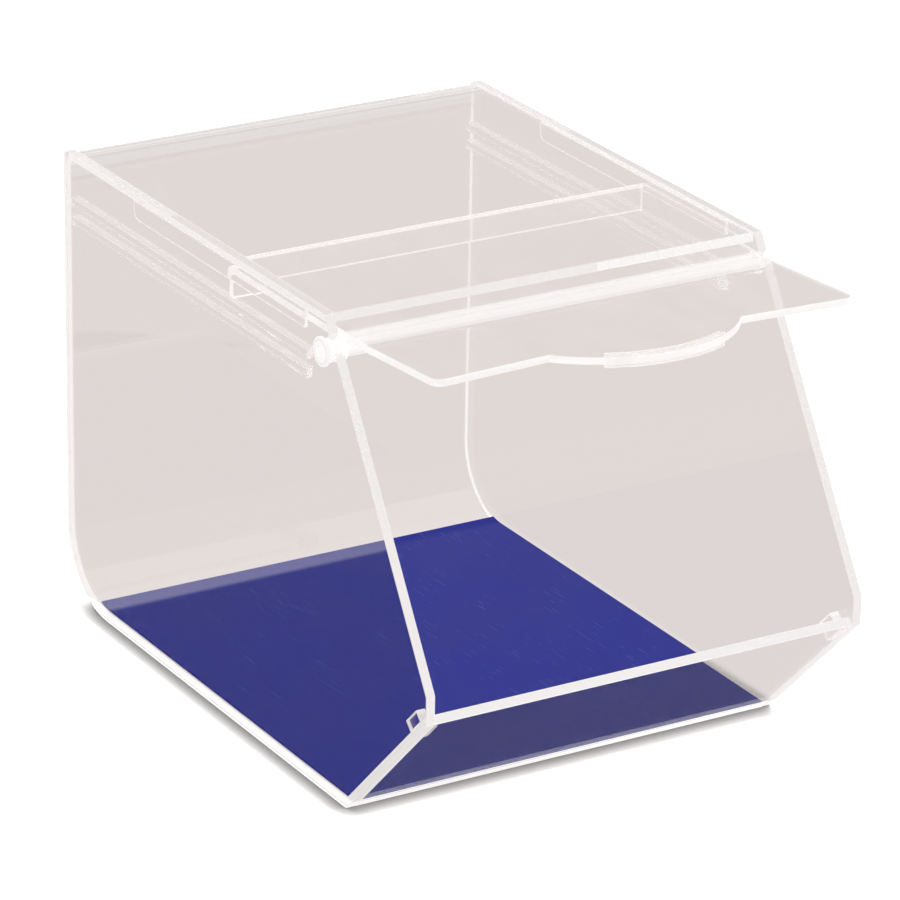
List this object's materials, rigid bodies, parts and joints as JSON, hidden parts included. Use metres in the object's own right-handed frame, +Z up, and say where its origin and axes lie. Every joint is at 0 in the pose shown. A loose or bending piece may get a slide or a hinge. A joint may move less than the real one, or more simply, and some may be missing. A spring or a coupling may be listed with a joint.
{
  "type": "candy bin",
  "caption": "Clear acrylic bin for loose sweets with a slanted front mouth, a sloping lip and a flat lid that slides back over a roller.",
  "frame": {"origin": "middle of the flat underside that the bin stands on", "axes": "+X to the right seen from the front, -Y towards the front mouth, +Z up"},
  "size_m": [0.2047, 0.3133, 0.2],
  "materials": {
    "clear_acrylic": "clear polished acrylic sheet, faintly warm, with bright cut edges",
    "lid_acrylic": "clear polished acrylic sheet",
    "grip_vinyl": "clear glossy moulded edge strip",
    "roller_acrylic": "clear polished acrylic tube and turned ends",
    "liner_blue": "royal blue plastic sheet, glossy with fine scratches"
  },
  "bodies": {
    "bin": {"left_side_panel": "clear_acrylic", "right_side_panel": "clear_acrylic", "body_shell": "clear_acrylic", "front_lip_panel": "clear_acrylic", "left_upper_rail": "clear_acrylic", "right_upper_rail": "clear_acrylic", "left_lower_rail": "clear_acrylic", "right_lower_rail": "clear_acrylic", "left_guide_strip": "clear_acrylic", "right_guide_strip": "clear_acrylic", "left_stop_block": "clear_acrylic", "right_stop_block": "clear_acrylic", "floor_liner": "liner_blue"},
    "lid": {"lid_panel": "lid_acrylic", "lid_grip": "grip_vinyl"},
    "roller": {"roller_tube": "roller_acrylic", "left_roller_disc": "roller_acrylic", "right_roller_disc": "roller_acrylic", "left_roller_plug": "roller_acrylic", "right_roller_plug": "roller_acrylic", "left_roller_cap": "roller_acrylic"}
  },
  "joints": [
    {"name": "lid_slide", "type": "slide", "parent": "bin", "child": "lid", "axis": [0, -1, 0], "range_m": [-0.048, 0.0784]},
    {"name": "roller_spin", "type": "hinge", "parent": "bin", "child": "roller", "pos_m": [0, -0.08656, 0.1869], "axis": [1, 0, 0], "continuous": true}
  ],
  "couplings": [
    {"joint": "roller_spin", "follows": "lid_slide", "rad_per_m": 263.16}
  ]
}
